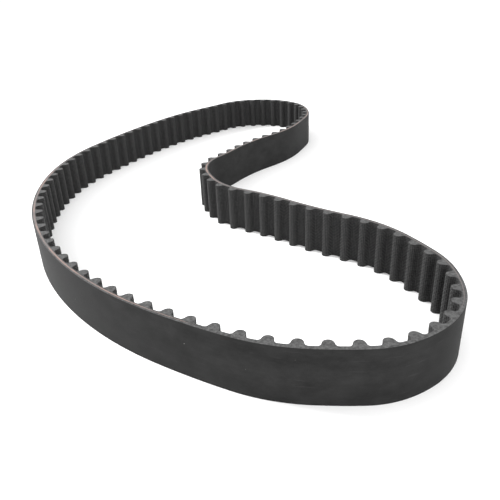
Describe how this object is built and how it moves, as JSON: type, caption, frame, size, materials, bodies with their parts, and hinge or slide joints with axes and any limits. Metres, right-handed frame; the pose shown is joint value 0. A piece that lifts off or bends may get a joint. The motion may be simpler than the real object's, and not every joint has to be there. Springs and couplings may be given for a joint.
{
  "type": "timing belt",
  "caption": "Endless toothed belt: smooth rubber back, cords on the pitch line and round fabric-faced teeth inside, lying in a loose kidney-shaped loop on its cut edge.",
  "frame": {"origin": "middle of the belt's outline, on the cut edge that it stands on", "axes": "+Z along the belt's width, up; +Y along the loop's longest extent, away from the broad smooth front stretch; +X to the right, towards the hollow side of the kidney"},
  "size_m": [0.191, 0.3564, 0.022],
  "materials": {
    "backing_rubber": "matt, ground",
    "tooth_rubber": "matt, knife-cut",
    "facing_fabric": "woven nylon, slightly satin",
    "glass_cord": "twisted glass fibre, coated"
  },
  "bodies": {
    "root": {"backing": "backing_rubber", "tooth_rubber": "tooth_rubber", "tooth_facing": "facing_fabric", "tension_cord_s": "glass_cord", "tension_cord_z": "glass_cord"}
  },
  "joints": []
}
